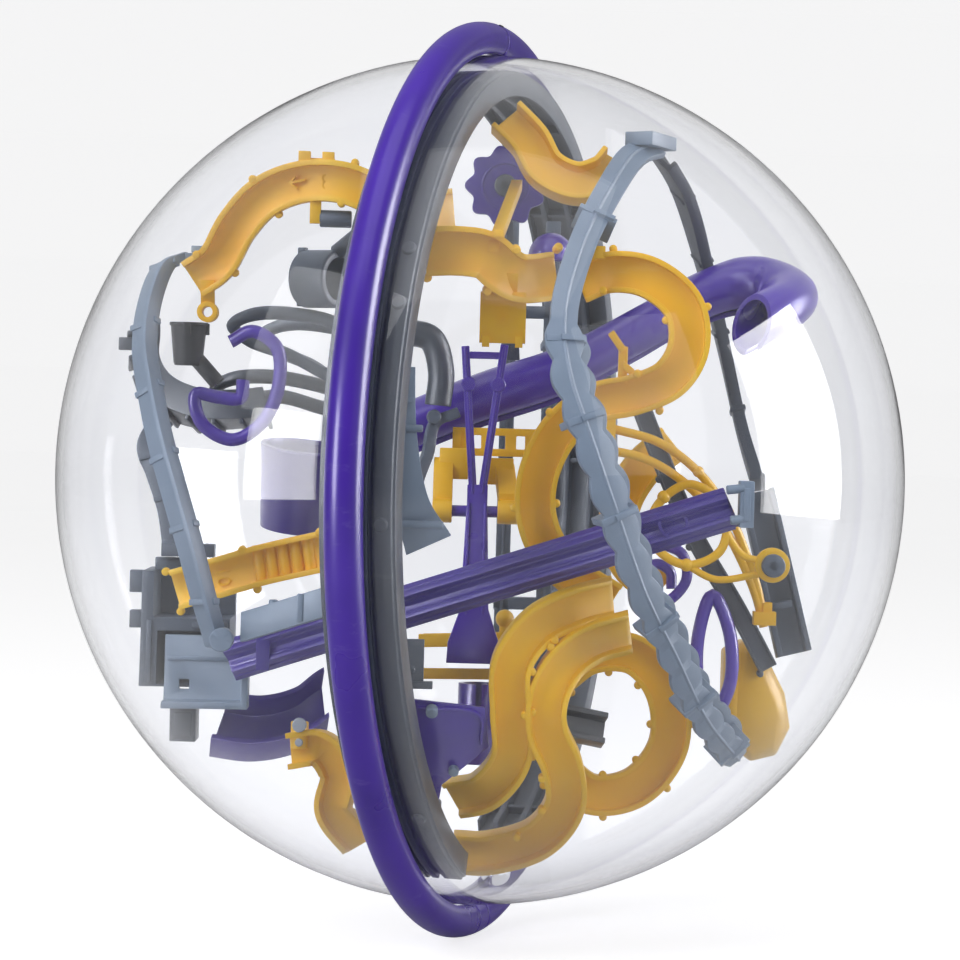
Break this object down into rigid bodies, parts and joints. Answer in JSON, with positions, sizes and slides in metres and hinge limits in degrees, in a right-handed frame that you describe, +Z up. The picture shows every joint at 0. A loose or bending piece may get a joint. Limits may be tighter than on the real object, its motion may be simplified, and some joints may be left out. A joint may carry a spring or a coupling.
{
  "type": "maze ball puzzle",
  "caption": "Clear two-part sphere in a purple ring, full of tracks, troughs, loops and pipes for a steel ball, with a swinging fork, a turning disc and an eyelet hoop",
  "frame": {"origin": "centre of the clear sphere and of its outer ring", "axes": "+Z up through the top of the outer ring, +X along the line between the two bowl tops, square to the outer ring, -Y towards the viewer"},
  "size_m": [0.196, 0.211, 0.2112],
  "materials": {
    "clear_shell": "clear polished plastic",
    "purple_gloss": "glossy moulded",
    "deep_purple": "glossy moulded",
    "yellow_satin": "satin moulded",
    "pale_grey": "fine grain moulded",
    "mid_grey": "fine grain moulded",
    "dark_grey": "fine grain moulded",
    "black_plastic": "fine grain moulded",
    "polished_steel": "polished"
  },
  "bodies": {
    "root": {"clear_bowl_left": "clear_shell", "clear_bowl_right": "clear_shell", "ring_front_half": "purple_gloss", "ring_rear_half": "purple_gloss", "ring_closing_piece": "purple_gloss", "equator_hoop": "dark_grey", "upper_left_track": "yellow_satin", "left_outer_rail": "pale_grey", "left_drum": "mid_grey", "wire_loop_front": "mid_grey", "wire_loop_rear": "mid_grey", "wire_loop_low": "dark_grey", "black_cup": "black_plastic", "left_dark_trough": "dark_grey", "purple_hook_rod": "purple_gloss", "purple_funnel": "deep_purple", "left_upright": "mid_grey", "scoop_box": "mid_grey", "wave_track": "yellow_satin", "left_grey_beam": "pale_grey", "left_tray": "pale_grey", "purple_lower_trough": "deep_purple", "trough_end_cap": "dark_grey", "yellow_pin_bracket": "yellow_satin", "long_purple_beam": "purple_gloss", "bearing_left": "yellow_satin", "bearing_right": "yellow_satin", "slotted_tube": "purple_gloss", "purple_side_plate": "purple_gloss", "cross_bars": "yellow_satin", "centre_track": "yellow_satin", "wheel_axle": "dark_grey", "purple_dome": "purple_gloss", "ladder_strip": "yellow_satin", "hook_frame": "mid_grey", "dark_elbow": "dark_grey", "rear_posts": "mid_grey", "curved_side_plate": "pale_grey", "hoop_side_plates": "dark_grey", "top_s_track": "yellow_satin", "loop_track": "yellow_satin", "purple_pipe": "purple_gloss", "scalloped_rail": "pale_grey", "arch_rear_leg": "dark_grey", "side_channel": "mid_grey", "inner_grey_leg": "dark_grey", "beam_end_clip": "pale_grey", "wire_rails": "yellow_satin", "rear_curved_track": "yellow_satin", "purple_spiral": "purple_gloss", "purple_long_loop": "purple_gloss", "yellow_hood": "yellow_satin", "twin_lane_track": "yellow_satin", "oval_loop_track": "yellow_satin", "dark_u_channel": "black_plastic"},
    "fork": {"fork_arm": "purple_gloss"},
    "wheel": {"purple_wheel": "deep_purple"},
    "eyelet": {"eyelet_hoop": "yellow_satin"},
    "ball": {"steel_ball": "polished_steel"}
  },
  "joints": [
    {"name": "fork_swing", "type": "hinge", "parent": "root", "child": "fork", "pos_m": [0.00789, -0.02895, -0.0065], "axis": [0.9603, 0.279, 0], "range_deg": [-12, 9]},
    {"name": "wheel_turn", "type": "hinge", "parent": "root", "child": "wheel", "pos_m": [0.0044, -0.00081, 0.068], "axis": [0.279, -0.9603, 0], "continuous": true},
    {"name": "eyelet_swing", "type": "hinge", "parent": "root", "child": "eyelet", "pos_m": [0.07294, -0.0163, -0.0165], "axis": [0.279, -0.9603, 0], "range_deg": [-15, 15]},
    {"name": "ball_roll", "type": "hinge", "parent": "root", "child": "ball", "pos_m": [0, 0, 0], "axis": [0, 1, 0], "range_deg": [-10, 14]}
  ]
}
